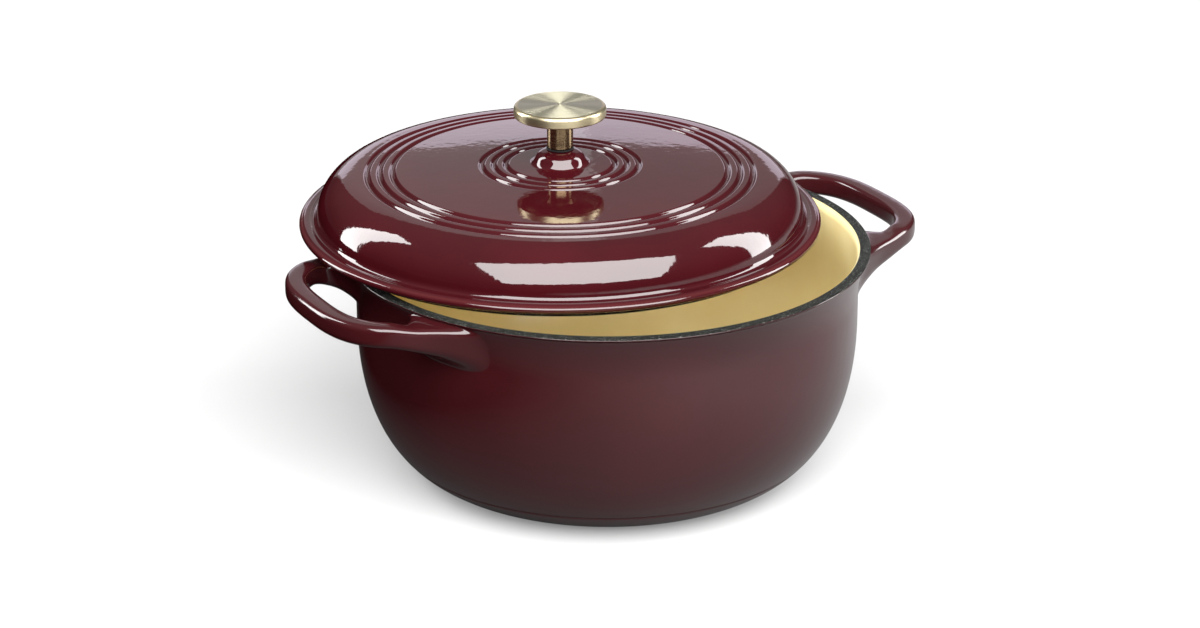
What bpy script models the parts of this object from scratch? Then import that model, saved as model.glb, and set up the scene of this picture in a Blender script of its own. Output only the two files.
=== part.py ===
"""Enamelled cast iron dutch oven: a round pot with two loop handles, its domed lid and the lid's bolted knob.

Metres, +Z up. The origin is the centre of the flat base and the handles point along -X and +X.
The lid lies ajar: moved back and a little to the left, with its lip resting on the rim.
"""

import math

import bmesh
import bpy
import numpy as np

# Clearances
GAP = 0.0003  # left between pieces that touch on the real object
EDGE = 0.0009  # rounding of cast and turned edges
MERGE = 0.00001

# Pot
POT_HEIGHT = 0.1251
RIM_RADIUS = 0.1405
RIM_WIDTH = 0.0063
FLARE = 0.0062  # how far the rim stands out past the straight wall
FLARE_HEIGHT = 0.025
STRAIGHT_WALL = 0.0121  # height of the wall between the flare and the rounded lower body
BASE_TUCK = 0.0553  # how far the edge of the flat base lies inside the straight wall
BODY_EXPONENT = 2.27
WALL = 0.0038
FLOOR = 0.0052
FOOT_LINE_HEIGHT = 0.0155
FOOT_STEP = 0.0008
WALL_RADIUS = RIM_RADIUS - FLARE
BASE_RADIUS = WALL_RADIUS - BASE_TUCK
BODY_CURVE_HEIGHT = POT_HEIGHT - FLARE_HEIGHT - STRAIGHT_WALL

# Loop handles, cast with the pot
HANDLE_REACH = 0.0360  # how far a grip's outer side stands out past the rim
HANDLE_HALF_SPAN = 0.057  # centre of the bar from the handle's axis, at the wall
HANDLE_START = 0.0285  # how far inside the rim radius the loop's plan curve is centred
HANDLE_EXPONENT = 3.0
GRIP_WIDTH = 0.0115
GRIP_HEIGHT = 0.0115
GRIP_DROP = 0.0008  # top of the grip below the rim
ROOT_DROP = 0.0026  # top of the root below the rim
ROOT_INWARD = 0.0165  # half-width of the root towards the handle's axis
ROOT_OUTWARD = 0.0115  # and away from it
ROOT_HEIGHT = 0.0190
ROOT_LENGTH = 0.026
ROOT_SPREAD = 2.6  # how late the bar widens, and deepens, towards its root
ROOT_DEEPENING = 2.2
ROOT_SINK = 0.0022  # how deep the bar's end is buried in the wall
SINK_EASE = 0.7  # share of that depth which each ring further along the bar may keep
HANDLE_END = 0.10  # cosine of the plan curve's angle where the bar ends inside the wall
GRIP_CUT = 0.0034

# Lid, heights above the underside of its flange
LID_INSET = 0.0002  # how far the lid's edge lies inside the rim's
FLANGE = 0.0042
FLANGE_WIDTH = 0.0092
SHOULDER_WIDTH = 0.0241
SHOULDER_HEIGHT = 0.0280
SHOULDER_EXPONENT = 2.05
CROWN_RISE = 0.0049
LID_WALL = 0.0037
LIP_CLEARANCE = 0.0016
LIP_HEIGHT = 0.0045
LIP_WIDTH = 0.0040
GROOVE_DEPTH = 0.0011
GROOVE_WIDTH = 0.0046
GROOVES = 3  # in each of the two sets
OUTER_GROOVE_INSET = 0.0035  # from the shoulder to the middle of the outermost groove
OUTER_GROOVE_PITCH = 0.00675
INNER_GROOVE_RADIUS = 0.0421
INNER_GROOVE_PITCH = 0.00645
LID_RADIUS = RIM_RADIUS - LID_INSET
CREASE_RADIUS = LID_RADIUS - FLANGE_WIDTH
SHOULDER_RADIUS = CREASE_RADIUS - SHOULDER_WIDTH
OUTER_GROOVES = [SHOULDER_RADIUS - OUTER_GROOVE_INSET - i * OUTER_GROOVE_PITCH for i in range(GROOVES)]
INNER_GROOVES = [INNER_GROOVE_RADIUS - i * INNER_GROOVE_PITCH for i in range(GROOVES)]

# How far the lid's middle lies from the pot's, along X and Y, with its lip resting on the rim
LID_SHIFT = (-0.0113, 0.0318)

# Knob, its boss on the lid and its fastening
SCREW_RADIUS = 0.0030
SCREW_CLEARANCE = 0.0004
SEAT_WASHER = 0.0008
SEAT_WASHER_OVERHANG = 0.0003
STEM_RADIUS = 0.0070
STEM_LENGTH = 0.0171
STEM_FLARE = 0.0025  # rounding between the stem and the plate above it
KNOB_RADIUS = 0.0247
KNOB_THICKNESS = 0.0068
KNOB_METAL = 0.0012
KNOB_EDGE = 0.0022
BOSS_LEDGE = 0.0004  # how far the boss's flat top reaches past the stem
BOSS_BULGE = 0.0060  # how far the boss swells out past its top
BOSS_FOOT = 0.0021  # how far its foot spreads past the swell
BOSS_HEIGHT = 0.0074
PAD_MARGIN = 0.0040  # how far the flat pad under the lid reaches past the flat washer
INSERT_LENGTH = 0.013
SCREW_ENGAGEMENT = 0.010
HEAD_OVERHANG = 0.0026  # how far the screw's head reaches past its shank
HEAD_HEIGHT = 0.0038
CROSS_LENGTH = 0.0062
CROSS_WIDTH = 0.0012
CROSS_DEPTH = 0.0020
FLAT_WASHER_OVERHANG = 0.0024  # how far the flat washer reaches past the head
FLAT_WASHER = 0.0012
LOCK_WASHER_INSET = 0.0004  # how far the lock washer's edge lies inside the head's
LOCK_WASHER = 0.0014
LOCK_WASHER_SPLIT = 0.0012
BOSS_TOP_RADIUS = STEM_RADIUS + BOSS_LEDGE
BOSS_BULGE_RADIUS = BOSS_TOP_RADIUS + BOSS_BULGE
BOSS_BASE_RADIUS = BOSS_BULGE_RADIUS + BOSS_FOOT
HEAD_RADIUS = SCREW_RADIUS + HEAD_OVERHANG
FLAT_WASHER_RADIUS = HEAD_RADIUS + FLAT_WASHER_OVERHANG
LOCK_WASHER_RADIUS = HEAD_RADIUS - LOCK_WASHER_INSET

BIG_STEPS = 56
SMALL_STEPS = 24


def clear_scene():
    """Removes whatever the file opened with."""
    for obj in list(bpy.data.objects):
        bpy.data.objects.remove(obj, do_unlink=True)


def finish(name, color, roughness, metallic=0.0):
    """A Principled material of one colour."""
    material = bpy.data.materials.new(name)
    material.use_nodes = True
    shader = material.node_tree.nodes["Principled BSDF"]
    shader.inputs["Base Color"].default_value = (*color, 1.0)
    shader.inputs["Roughness"].default_value = roughness
    shader.inputs["Metallic"].default_value = metallic
    return material


def add_object(name, mesh, material, parent=None):
    """Links a mesh as a named object, shaded smooth with its sharp edges kept."""
    obj = bpy.data.objects.new(name, mesh)
    bpy.context.scene.collection.objects.link(obj)
    mesh.shade_smooth()
    mesh.set_sharp_from_angle(angle=math.radians(35))
    mesh.materials.append(material)
    obj.parent = parent
    return obj


def turned(name, profile, material, parent=None, steps=SMALL_STEPS):
    """A solid of revolution about Z. The (radius, height) profile runs down its outer side."""
    mesh = bpy.data.meshes.new(name)
    closed = profile[0][0] > 0
    edges = [(i, i + 1) for i in range(len(profile) - 1)]
    if closed:
        edges.append((len(profile) - 1, 0))
    mesh.from_pydata([(r, 0.0, z) for r, z in profile], edges, [])
    obj = add_object(name, mesh, material, parent)
    screw = obj.modifiers.new("Turn", "SCREW")
    screw.axis = "Z"
    screw.steps = steps
    screw.render_steps = steps
    screw.use_merge_vertices = True
    screw.merge_threshold = MERGE
    screw.use_smooth_shade = True
    return obj


def ring(name, bore, outer, low, high, material, parent):
    """A plain round ring between two heights: a washer or a sleeve."""
    profile = [(outer, high), (outer, low), (bore, low), (bore, high)]
    return turned(name, profile, material, parent)


def round_corner(corner, start, end, steps=3):
    """Points of a rounded corner: a quadratic curve from start to end, pulled towards the corner."""
    t = np.linspace(0.0, 1.0, steps + 1)[:, None]
    corner, start, end = (np.array(p) for p in (corner, start, end))
    curve = (1 - t) ** 2 * start + 2 * t * (1 - t) * corner + t**2 * end
    return [tuple(p) for p in curve]


def body_radius(z, base, wall, low, flare):
    """Radius of the pot's outer or inner side at height z: a superellipse, a straight wall and a flare."""
    if z < BODY_CURVE_HEIGHT:
        depth = min(1.0, (BODY_CURVE_HEIGHT - z) / (BODY_CURVE_HEIGHT - low))
        return base + (wall - base) * (1 - depth**BODY_EXPONENT) ** (1 / BODY_EXPONENT)
    rise = max(0.0, (z - POT_HEIGHT + FLARE_HEIGHT) / FLARE_HEIGHT)
    return wall + (flare - wall) * rise**2


def outer_radius(z):
    """Radius of the pot's outside at height z."""
    return body_radius(z, BASE_RADIUS, WALL_RADIUS, 0.0, RIM_RADIUS)


def inner_radius(z):
    """Radius of the pot's inside at height z."""
    return body_radius(z, BASE_RADIUS - WALL, WALL_RADIUS - WALL, FLOOR, RIM_RADIUS - RIM_WIDTH)


def curve_heights(low, high, count):
    """Heights from low to high, closer together near the bottom, where the body turns in."""
    u = np.linspace(0.0, math.pi / 2, count)
    return [low + (high - low) * (1 - math.cos(a)) ** 1.25 for a in u]


def pot_profile():
    """The pot's section: up the inside from the middle of the floor, over the rim and down the outside."""
    flare_start = POT_HEIGHT - FLARE_HEIGHT
    flare = [flare_start + FLARE_HEIGHT * s for s in (0.0, 0.35, 0.6, 0.8)]
    inside = [(inner_radius(z), z) for z in curve_heights(FLOOR, BODY_CURVE_HEIGHT, 11) + flare]
    inner_edge = RIM_RADIUS - RIM_WIDTH
    rim = [
        (inner_edge, POT_HEIGHT - EDGE),
        (inner_edge + EDGE, POT_HEIGHT),
        (RIM_RADIUS - EDGE, POT_HEIGHT),
        (RIM_RADIUS, POT_HEIGHT - EDGE),
    ]
    curve = curve_heights(0.0, BODY_CURVE_HEIGHT, 13)
    above = [z for z in curve if z > FOOT_LINE_HEIGHT + 2 * FOOT_STEP] + flare
    below = [z for z in curve if z < FOOT_LINE_HEIGHT - FOOT_STEP]
    step = [(outer_radius(FOOT_LINE_HEIGHT + s), FOOT_LINE_HEIGHT + s) for s in (FOOT_STEP, 0.0)]
    step.append((outer_radius(FOOT_LINE_HEIGHT) - FOOT_STEP, FOOT_LINE_HEIGHT - FOOT_STEP / 2))
    outside = [(outer_radius(z), z) for z in reversed(above)] + step
    outside += [(outer_radius(z) - FOOT_STEP, z) for z in reversed(below)]
    return [(0.0, FLOOR)] + inside + rim + outside + [(0.0, 0.0)]


def smooth(t):
    """Eases from 0 to 1."""
    t = min(1.0, max(0.0, t))
    return t * t * (3 - 2 * t)


def handle_plan(count):
    """Centre points of one loop in plan, evenly spaced along a superellipse that ends inside the wall."""
    centre_x = RIM_RADIUS - HANDLE_START
    reach = RIM_RADIUS + HANDLE_REACH - GRIP_WIDTH / 2 - centre_x
    power = 2 / HANDLE_EXPONENT
    last = math.acos(HANDLE_END)
    angle = np.linspace(-last, last, 801)
    x = centre_x + reach * np.cos(angle) ** power
    y = HANDLE_HALF_SPAN * np.sign(angle) * np.abs(np.sin(angle)) ** power
    travelled = np.concatenate([[0.0], np.cumsum(np.hypot(np.diff(x), np.diff(y)))])
    even = np.linspace(0.0, travelled[-1], count)
    return np.stack([np.interp(even, travelled, x), np.interp(even, travelled, y)], axis=1), even


def bar_section(inward, outward, height):
    """Corners of the grip's section as (across, down) from the middle of its top: a box with cut corners."""
    top_cut = GRIP_CUT * 0.7
    top = [(-inward, top_cut), (top_cut - inward, 0.0), (outward - top_cut, 0.0), (outward, top_cut)]
    bottom = [(outward, height - GRIP_CUT), (outward - GRIP_CUT, height)]
    return top + bottom + [(GRIP_CUT - inward, height), (-inward, height - GRIP_CUT)]


def handle_rings(count=31):
    """Rings of points along the loop: the bar widens and deepens where it grows out of the wall.

    The end ring lies a set depth inside the wall, and each ring further along no deeper than a share of that.
    """
    plan, travelled = handle_plan(count)
    ahead = np.gradient(plan, axis=0)
    ahead /= np.linalg.norm(ahead, axis=1)[:, None]
    out = np.stack([ahead[:, 1], -ahead[:, 0]], axis=1)
    half = GRIP_WIDTH / 2
    rings = []
    for i in range(count):
        root = 1.0 - min(1.0, min(travelled[i], travelled[-1] - travelled[i]) / ROOT_LENGTH)
        inward = half + (ROOT_INWARD - half) * root**ROOT_SPREAD
        outward = half + (ROOT_OUTWARD - half) * root**ROOT_SPREAD
        height = GRIP_HEIGHT + (ROOT_HEIGHT - GRIP_HEIGHT) * root**ROOT_DEEPENING
        top = POT_HEIGHT - GRIP_DROP - (ROOT_DROP - GRIP_DROP) * smooth(root * 1.5)
        ring = []
        for across, down in bar_section(inward, outward, height):
            x, y = plan[i] + out[i] * across
            ring.append(np.array([x, y, top - down]))
        rings.append(ring)
    for i, ring in enumerate(rings):
        steps = min(i, count - 1 - i)
        for point in ring:
            buried = outer_radius(point[2]) - ROOT_SINK * SINK_EASE**steps
            radius = math.hypot(point[0], point[1])
            if steps == 0 or radius < buried:
                point[:2] *= buried / radius
    return rings


def loop_handle(name, material, side):
    """One loop handle as a closed mesh of rings, for joining to the pot at +X or -X."""
    bm = bmesh.new()
    turn = np.array([side, side, 1.0])
    rings = [[bm.verts.new(point * turn) for point in ring] for ring in handle_rings()]
    for near, far in zip(rings, rings[1:]):
        for k in range(len(near)):
            n = (k + 1) % len(near)
            bm.faces.new((near[k], near[n], far[n], far[k]))
    bm.faces.new(rings[0])
    bm.faces.new(reversed(rings[-1]))
    bmesh.ops.recalc_face_normals(bm, faces=bm.faces)
    mesh = bpy.data.meshes.new(name)
    bm.to_mesh(mesh)
    bm.free()
    obj = add_object(name, mesh, material)
    obj.hide_render = True
    obj.display_type = "WIRE"
    return obj


def boolean(obj, tool, operation):
    """Joins or cuts with an exact Boolean."""
    modifier = obj.modifiers.new(tool.name, "BOOLEAN")
    modifier.operation = operation
    modifier.solver = "EXACT"
    modifier.object = tool


def build_pot(enamel):
    """The pot casting: the turned body with both loop handles joined on."""
    pot = turned("pot_casting", pot_profile(), enamel, steps=BIG_STEPS)
    for side, name in ((-1, "left_loop"), (1, "right_loop")):
        boolean(pot, loop_handle(name, enamel, side), "UNION")


def dome_height(r):
    """Height of the lid's plain outer surface at radius r, before grooves and boss."""
    if r >= SHOULDER_RADIUS:
        across = min(1.0, (r - SHOULDER_RADIUS) / (CREASE_RADIUS - SHOULDER_RADIUS))
        rise = (1 - across**SHOULDER_EXPONENT) ** (1 / SHOULDER_EXPONENT)
        return FLANGE + (SHOULDER_HEIGHT - FLANGE) * rise
    return SHOULDER_HEIGHT + CROWN_RISE * (1 - (r / SHOULDER_RADIUS) ** 2)


def shoulder_radii(count):
    """Radii from the shoulder out to the crease, closer together near the crease."""
    span = CREASE_RADIUS - SHOULDER_RADIUS
    return [SHOULDER_RADIUS + span * math.sin(a) ** 0.75 for a in np.linspace(0, math.pi / 2, count)]


def groove_points(radius):
    """The section of one turned groove, from its inner edge to its outer edge."""
    half = GROOVE_WIDTH / 2
    steps = ((-half, 0.0), (-half * 0.45, GROOVE_DEPTH), (half * 0.45, GROOVE_DEPTH), (half, 0.0))
    return [(radius + across, dome_height(radius + across) - down) for across, down in steps]


def boss_points():
    """The rounded boss in the middle of the lid, from the edge of its flat top out to its foot."""
    top = dome_height(0.0) + BOSS_HEIGHT
    edge = top - EDGE
    waist = (BOSS_BULGE_RADIUS, top - BOSS_HEIGHT * 0.62)
    foot = (BOSS_BASE_RADIUS, dome_height(BOSS_BASE_RADIUS))
    swell = round_corner((BOSS_BULGE_RADIUS, edge), (BOSS_TOP_RADIUS, top), waist, 4)
    spread = round_corner((BOSS_BULGE_RADIUS, foot[1]), waist, foot)
    return swell + spread[1:]


def lid_under(r):
    """Height of the lid's hollow underside at radius r."""
    return dome_height(min(CREASE_RADIUS, r + LID_WALL * 0.75)) - LID_WALL


def lid_profile():
    """The lid's section: from the bolt hole over the top, round the flange and back along the underside."""
    hole = SCREW_RADIUS + SCREW_CLEARANCE
    boss_top = dome_height(0.0) + BOSS_HEIGHT
    top = [(hole, boss_top)] + boss_points()
    for radius in reversed(INNER_GROOVES):
        top += groove_points(radius)
    middle = (INNER_GROOVES[0] + OUTER_GROOVES[-1]) / 2
    top.append((middle, dome_height(middle)))
    for radius in reversed(OUTER_GROOVES):
        top += groove_points(radius)
    top += [(r, dome_height(r)) for r in shoulder_radii(8)[1:]]
    flange = [
        (LID_RADIUS - 2 * EDGE, FLANGE),
        (LID_RADIUS - EDGE * 0.5, FLANGE - EDGE * 0.6),
        (LID_RADIUS, FLANGE - 2 * EDGE),
        (LID_RADIUS - EDGE, 0.0),
    ]
    lip_outer = RIM_RADIUS - RIM_WIDTH - LIP_CLEARANCE
    lip_inner = lip_outer - LIP_WIDTH
    lip = [(lip_outer, 0.0), (lip_outer - EDGE, -LIP_HEIGHT), (lip_inner + EDGE, -LIP_HEIGHT)]
    under = [(r - LID_WALL, lid_under(r - LID_WALL)) for r in reversed(shoulder_radii(6))]
    under += [(r, lid_under(r)) for r in (SHOULDER_RADIUS * 2 / 3, SHOULDER_RADIUS / 3)]
    pad = lid_under(0.0)
    pad_radius = FLAT_WASHER_RADIUS + PAD_MARGIN
    return top + flange + lip + [(lip_inner, 0.0)] + under + [(pad_radius, pad), (hole, pad)]


def lid_frame():
    """An empty in the middle of the flange's underside that carries every piece of the lid."""
    empty = bpy.data.objects.new("lid_frame", None)
    bpy.context.scene.collection.objects.link(empty)
    empty.location = (*LID_SHIFT, POT_HEIGHT + GAP + LIP_HEIGHT)
    return empty


def build_knob(frame, brass, steel, dark):
    """The hollow knob above the lid: seat washer, stem shell, top cap and the threaded insert inside."""
    seat = dome_height(0.0) + BOSS_HEIGHT + GAP
    hole = SCREW_RADIUS + SCREW_CLEARANCE
    ring("seat_washer", hole, STEM_RADIUS + SEAT_WASHER_OVERHANG, seat, seat + SEAT_WASHER, dark, frame)

    foot = seat + SEAT_WASHER + GAP
    plate = foot + STEM_LENGTH
    top = plate + KNOB_THICKNESS
    shell_rim = KNOB_RADIUS - KNOB_METAL - GAP
    bore = STEM_RADIUS - KNOB_METAL
    outside = [(shell_rim, plate + KNOB_METAL), (shell_rim - KNOB_METAL, plate)]
    outside += round_corner(
        (STEM_RADIUS, plate - KNOB_METAL), (STEM_RADIUS + STEM_FLARE, plate - KNOB_METAL / 2),
        (STEM_RADIUS, plate - KNOB_METAL - STEM_FLARE), 4,
    )
    outside += [(STEM_RADIUS, foot + EDGE), (STEM_RADIUS - EDGE, foot)]
    inside = [(hole, foot), (hole, foot + KNOB_METAL), (bore, foot + KNOB_METAL)]
    inside += round_corner(
        (bore, plate), (bore, plate - STEM_FLARE), (bore + STEM_FLARE, plate + KNOB_METAL / 2), 4,
    )
    inside += [(shell_rim - KNOB_METAL, plate + KNOB_METAL), (shell_rim - KNOB_METAL, plate + 2 * KNOB_METAL)]
    turned("knob_stem", [(shell_rim, plate + 2 * KNOB_METAL)] + outside + inside, brass, frame, steps=32)

    skirt = plate + KNOB_METAL / 2
    inner = KNOB_RADIUS - KNOB_METAL
    under = top - KNOB_METAL
    cap = [(0.0, under), (inner - KNOB_EDGE, under), (inner, under - KNOB_EDGE / 2), (inner, skirt)]
    cap += [(KNOB_RADIUS - KNOB_METAL / 2, skirt - GAP), (KNOB_RADIUS, skirt + KNOB_EDGE / 2)]
    cap += round_corner((KNOB_RADIUS, top), (KNOB_RADIUS, top - KNOB_EDGE), (KNOB_RADIUS - KNOB_EDGE, top), 4)
    cap += [(0.0, top)]
    turned("knob_cap", cap[::-1], brass, frame, steps=32)

    low = foot + KNOB_METAL + GAP
    ring("knob_insert", hole, bore - GAP, low, low + INSERT_LENGTH, steel, frame)
    return low


def build_fastening(frame, steel, thread_start):
    """The screw from below with its lock washer and flat washer, under the pad in the middle of the lid."""
    pad = lid_under(0.0)
    hole = SCREW_RADIUS + SCREW_CLEARANCE
    flat_top = pad - GAP
    flat_bottom = flat_top - FLAT_WASHER
    ring("flat_washer", hole, FLAT_WASHER_RADIUS, flat_bottom, flat_top, steel, frame)

    lock_top = flat_bottom - GAP
    lock_bottom = lock_top - LOCK_WASHER
    washer = ring("lock_washer", hole, LOCK_WASHER_RADIUS, lock_bottom, lock_top, steel, frame)
    boolean(washer, split_cutter(frame, steel, (lock_top + lock_bottom) / 2), "DIFFERENCE")

    head = lock_bottom - GAP
    tip = thread_start + SCREW_ENGAGEMENT
    screw = [(0.0, tip), (SCREW_RADIUS - EDGE, tip), (SCREW_RADIUS, tip - EDGE), (SCREW_RADIUS, head)]
    screw += [(HEAD_RADIUS, head), (HEAD_RADIUS, head - HEAD_HEIGHT * 0.4)]
    screw += [(HEAD_RADIUS * 0.8, head - HEAD_HEIGHT * 0.85), (HEAD_RADIUS * 0.5, head - HEAD_HEIGHT)]
    screw += [(0.0, head - HEAD_HEIGHT)]
    screw_obj = turned("knob_screw", screw, steel, frame)
    boolean(screw_obj, cross_cutter(frame, steel, head - HEAD_HEIGHT), "DIFFERENCE")


def prism_cutter(name, frame, material, outline, low, high):
    """A hidden upright prism over an outline in plan, for cutting."""
    bm = bmesh.new()
    face = bm.faces.new([bm.verts.new((x, y, low)) for x, y in outline])
    raised = bmesh.ops.extrude_face_region(bm, geom=[face])
    top = [item for item in raised["geom"] if isinstance(item, bmesh.types.BMVert)]
    bmesh.ops.translate(bm, vec=(0.0, 0.0, high - low), verts=top)
    bmesh.ops.recalc_face_normals(bm, faces=bm.faces)
    mesh = bpy.data.meshes.new(name)
    bm.to_mesh(mesh)
    bm.free()
    cutter = add_object(name, mesh, material, frame)
    cutter.hide_render = True
    cutter.display_type = "WIRE"
    return cutter


def split_cutter(frame, material, height):
    """Cuts the gap of the spring lock washer, out through one side."""
    half = LOCK_WASHER_SPLIT / 2
    out = LOCK_WASHER_RADIUS * 1.2
    outline = [(0.0, -half), (out, -half), (out, half), (0.0, half)]
    low, high = height - LOCK_WASHER, height + LOCK_WASHER
    return prism_cutter("lock_washer_split", frame, material, outline, low, high)


def cross_cutter(frame, material, face):
    """Cuts the cross recess up into the screw head."""
    long, short = CROSS_LENGTH / 2, CROSS_WIDTH / 2
    arm = [(long, -short), (long, short), (short, short)]
    outline = []
    for turn in range(4):
        c, s = round(math.cos(turn * math.pi / 2)), round(math.sin(turn * math.pi / 2))
        outline += [(x * c - y * s, x * s + y * c) for x, y in arm]
    return prism_cutter("screw_cross", frame, material, outline, face - CROSS_DEPTH, face + CROSS_DEPTH)


def main():
    clear_scene()
    enamel = finish("maroon_enamel", (0.080, 0.009, 0.014), 0.18)
    lid_enamel = finish("lid_enamel", (0.085, 0.009, 0.014), 0.10)
    brass = finish("brushed_brass", (0.52, 0.43, 0.26), 0.30, 1.0)
    steel = finish("zinc_steel", (0.62, 0.62, 0.60), 0.35, 1.0)
    dark = finish("dark_gasket", (0.02, 0.02, 0.02), 0.70)
    build_pot(enamel)
    frame = lid_frame()
    turned("lid_casting", lid_profile(), lid_enamel, frame, steps=BIG_STEPS)
    thread_start = build_knob(frame, brass, steel, dark)
    build_fastening(frame, steel, thread_start)


main()
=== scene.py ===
"""Enamelled cast iron dutch oven, its lid set ajar: fine surfaces, finishes, floor, light and camera.

Metres, +Z up. The origin is the middle of the pot's flat base and the loop handles point along X.
"""

import math

import bpy
import numpy as np
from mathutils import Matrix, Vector


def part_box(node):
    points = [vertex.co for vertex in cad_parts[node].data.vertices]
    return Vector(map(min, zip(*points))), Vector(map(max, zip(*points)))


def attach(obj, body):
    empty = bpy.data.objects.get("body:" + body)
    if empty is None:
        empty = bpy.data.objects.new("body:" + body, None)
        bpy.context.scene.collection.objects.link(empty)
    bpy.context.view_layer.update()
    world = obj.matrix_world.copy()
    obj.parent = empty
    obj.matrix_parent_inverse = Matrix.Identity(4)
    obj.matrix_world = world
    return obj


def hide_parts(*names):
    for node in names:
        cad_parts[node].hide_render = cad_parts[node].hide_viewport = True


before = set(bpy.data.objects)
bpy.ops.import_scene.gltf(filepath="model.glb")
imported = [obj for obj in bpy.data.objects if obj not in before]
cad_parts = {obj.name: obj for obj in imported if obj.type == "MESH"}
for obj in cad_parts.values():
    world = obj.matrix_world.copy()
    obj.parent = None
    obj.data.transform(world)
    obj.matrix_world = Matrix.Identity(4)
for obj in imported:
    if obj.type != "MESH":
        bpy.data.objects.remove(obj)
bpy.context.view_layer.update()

# Pot
POT_LOW, POT_HIGH = (np.array(corner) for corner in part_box("pot_casting"))
POT_HEIGHT = POT_HIGH[2]
RIM_RADIUS = POT_HIGH[1]
RIM_WIDTH = 0.0063
RIM_EDGE = 0.0009  # rounding of the rim's two edges
FLARE = 0.0062
FLARE_HEIGHT = 0.025
STRAIGHT_WALL = 0.0121
BASE_TUCK = 0.0553
BODY_EXPONENT = 2.27
WALL = 0.0038
FLOOR = 0.0052
FOOT_LINE_HEIGHT = 0.0155
FOOT_LINE_WIDTH = 0.0011
FOOT_LINE_DEPTH = 0.0007
WALL_RADIUS = RIM_RADIUS - FLARE
BASE_RADIUS = WALL_RADIUS - BASE_TUCK
BODY_CURVE_HEIGHT = POT_HEIGHT - FLARE_HEIGHT - STRAIGHT_WALL

# Loop handles
HANDLE_END = POT_HIGH[0]
HANDLE_HALF_SPAN = 0.057
HANDLE_START = 0.0285
HANDLE_EXPONENT = 3.0
GRIP_WIDTH = 0.0115
GRIP_HEIGHT = 0.0115
GRIP_DROP = 0.0008
ROOT_DROP = 0.0026
ROOT_INWARD = 0.0165
ROOT_OUTWARD = 0.0128
ROOT_HEIGHT = 0.0190
ROOT_LENGTH = 0.026
ROOT_SPREAD = 2.6  # how late the bar widens, and deepens, towards its root
ROOT_DEEPENING = 2.2
TOP_FILLET = 0.0014  # where the root meets the wall: tight under the rim, wider below
LOW_FILLET = 0.0024
SIDE_FILLET = 0.0045
ROOT_GAP = 0.0060  # the bar's last full section stands this far off the wall

# Lid, heights above the underside of its flange
LID_LOW, LID_HIGH = (np.array(corner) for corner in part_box("lid_casting"))
LID_CENTRE = (LID_LOW[:2] + LID_HIGH[:2]) / 2
LID_RADIUS = (LID_HIGH[0] - LID_LOW[0]) / 2
LIP_HEIGHT = 0.0045
LID_BASE = LID_LOW[2] + LIP_HEIGHT
FLANGE = 0.0042
FLANGE_WIDTH = 0.0092
SHOULDER_WIDTH = 0.0241
SHOULDER_HEIGHT = 0.0280
SHOULDER_EXPONENT = 2.05
CROWN_RISE = 0.0049
LID_WALL = 0.0037
LIP_CLEARANCE = 0.0016
LIP_WIDTH = 0.0040
CREASE_FILLET = 0.0024
GROOVE_DEPTH = 0.0016
GROOVE_WIDTH = 0.0046
CREASE_RADIUS = LID_RADIUS - FLANGE_WIDTH
SHOULDER_RADIUS = CREASE_RADIUS - SHOULDER_WIDTH
OUTER_GROOVES = SHOULDER_RADIUS - 0.0035 - 0.00675 * np.arange(3)
INNER_GROOVES = 0.0421 - 0.00645 * np.arange(3)
BOLT_HOLE = 0.0034
BOSS_TOP_RADIUS = 0.0074
BOSS_WAIST_RADIUS = 0.0132
BOSS_BASE_RADIUS = 0.0160
BOSS_HEIGHT = 0.0074

# Knob
CAP_LOW, CAP_HIGH = (np.array(corner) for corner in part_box("knob_cap"))
STEM_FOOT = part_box("knob_stem")[0][2]
KNOB_RADIUS = (CAP_HIGH[0] - CAP_LOW[0]) / 2
STEM_RADIUS = 0.0070
STEM_FLARE = 0.0025
KNOB_EDGE = 0.0021
SCREW_RADIUS = 0.0030
HEAD_HEIGHT = 0.0038
CROSS_LENGTH = 0.0062
CROSS_WIDTH = 0.0012
CROSS_DEPTH = 0.0018
SPLIT = 0.0012
KNOB_CROWN = 0.0005

# Camera
VIEW_TURN = math.radians(28.78)
VIEW_RISE = math.radians(20.255)
VIEW_DISTANCE = 1.9
VIEW_LENS = 106.8
AIM_DROP = 0.0381  # the aim lies this far below and to the left of the rim's middle, as seen
AIM_LEFT = 0.0038
right = Vector((math.cos(VIEW_TURN), -math.sin(VIEW_TURN), 0.0))
away = Vector((math.sin(VIEW_TURN), math.cos(VIEW_TURN), 0.0))

# Studio
FLOOR_SHOWN = 0.35
FLOOR_GLOW = 0.20
FLOOR_FADE = (0.45, 2.0)  # from here to here the floor turns into the pale backdrop
FLOOR_DROP = 0.0002
FLOOR_HALF = 6.0
FLOOR_BOUNCE = (0.0, 0.25)  # at these two places, from left to right as seen
FLOOR_EDGES = (-0.22, 0.25)
ROOM_LEVEL = 0.035  # light from the room, level and from straight above
ROOM_ABOVE = 0.24
ROOM_TINT = (1.0, 0.985, 0.98)
SOFT_LIGHTS = [  # name, turn, rise, distance, width, height, radiance, tint
    ("front_box", 169.0, 43.0, 1.6, 2.45, 1.58, 11.0, (1.0, 1.0, 1.0)),
    ("left_strip", -71.0, 22.0, 1.5, 0.40, 1.45, 12.0, (1.0, 1.0, 1.0)),
    ("right_strip", 78.0, 22.0, 1.5, 0.42, 1.45, 12.0, (1.0, 1.0, 1.0)),
    ("back_card_right", 11.0, 17.0, 2.2, 0.86, 1.35, 0.29, (1.0, 1.0, 1.0)),
    ("back_card_left", -11.0, 17.0, 2.2, 0.86, 1.35, 0.40, (1.0, 1.0, 1.0)),
    ("back_band", 0.0, 10.0, 2.1, 1.6, 0.42, 1.15, (0.92, 0.83, 1.0)),
]

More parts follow.
